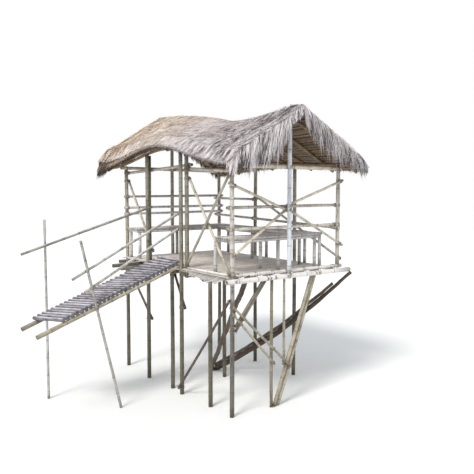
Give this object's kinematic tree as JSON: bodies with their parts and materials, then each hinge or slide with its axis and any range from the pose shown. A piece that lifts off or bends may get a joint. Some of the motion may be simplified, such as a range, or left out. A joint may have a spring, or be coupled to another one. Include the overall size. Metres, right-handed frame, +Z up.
{
  "type": "stilt house",
  "caption": "Open stilt hut of lashed bamboo poles with a sagging thatched gable roof, split bamboo floor, benches inside, a fan of raking legs and a pole ramp with handrails.",
  "frame": {"origin": "foot of the centre leg, on the ground under the middle of the floor", "axes": "+Z up; front gable faces -Y; the ramp runs out to -X"},
  "size_m": [5.7135, 5, 5.56],
  "materials": {
    "thatch": "dry grass thatch, shaggy, weathered grey to straw",
    "split_bamboo_floor": "flattened split bamboo, worn pinkish tan",
    "dark_timber": "rough dark natural wood",
    "roof_bamboo": "shaded brown bamboo",
    "ramp_poles": "weathered grey-lilac poles",
    "olive_bamboo": "olive tan bamboo",
    "pale_bamboo": "sun-bleached pale bamboo"
  },
  "bodies": {
    "root": {"thatch_left": "thatch", "thatch_right": "thatch", "ridge_pole": "roof_bamboo", "rafters_left": "roof_bamboo", "rafters_right": "roof_bamboo", "battens_left": "roof_bamboo", "battens_right": "roof_bamboo", "eave_purlin_left": "roof_bamboo", "eave_purlin_right": "roof_bamboo", "tie_beam_front": "pale_bamboo", "tie_beam_back": "pale_bamboo", "left_wall_beams": "pale_bamboo", "post_front_left": "pale_bamboo", "post_front_middle": "pale_bamboo", "post_front_right": "pale_bamboo", "entry_posts_front": "olive_bamboo", "entry_posts_back": "olive_bamboo", "post_back_left": "olive_bamboo", "post_back_middle": "olive_bamboo", "post_back_right": "olive_bamboo", "posts_right_side": "olive_bamboo", "front_rails": "pale_bamboo", "front_braces": "pale_bamboo", "left_braces": "pale_bamboo", "right_rails": "pale_bamboo", "back_rails": "olive_bamboo", "floor_slats": "split_bamboo_floor", "floor_joists": "pale_bamboo", "floor_bearers": "olive_bamboo", "front_edge_beam": "pale_bamboo", "edge_poles": "pale_bamboo", "bench_front": "pale_bamboo", "bench_right": "pale_bamboo", "bench_back": "pale_bamboo", "left_legs": "olive_bamboo", "centre_leg": "olive_bamboo", "front_struts": "pale_bamboo", "cross_struts": "pale_bamboo", "bowed_log": "dark_timber", "under_poles": "dark_timber", "left_struts": "dark_timber", "ramp_stringers": "pale_bamboo", "ramp_deck": "ramp_poles", "ramp_rails": "pale_bamboo", "ramp_sticks": "pale_bamboo"}
  },
  "joints": []
}
